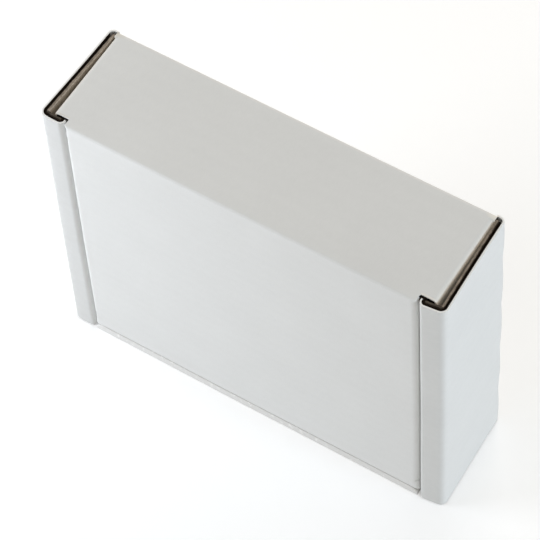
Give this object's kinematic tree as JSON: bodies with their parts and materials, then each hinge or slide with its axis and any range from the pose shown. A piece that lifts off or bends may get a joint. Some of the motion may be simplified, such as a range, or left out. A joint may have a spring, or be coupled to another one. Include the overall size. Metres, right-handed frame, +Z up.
{
  "type": "corrugated mailer box",
  "caption": "Folded corrugated mailer box with rolled side walls, tabs locked in the base and a hinged tuck-front lid, standing on its front wall.",
  "frame": {"origin": "centre of the closed box's footprint on the floor, under the front wall it stands on", "axes": "+X along the lid's crease, -Y out of the lid's outer face, +Z up from the front wall to the hinge wall"},
  "size_m": [0.1756, 0.0476, 0.1426],
  "materials": {
    "box_board": "matte white outer liner, brown kraft inside",
    "lid_board": "matte white outer liner, brown kraft inside"
  },
  "bodies": {
    "tray": {"tray": "box_board"},
    "lid": {"lid": "lid_board"}
  },
  "joints": [
    {"name": "lid_hinge", "type": "hinge", "parent": "tray", "child": "lid", "pos_m": [0, -0.0222, 0.141], "axis": [-1, 0, 0], "range_deg": [0, 180]}
  ]
}
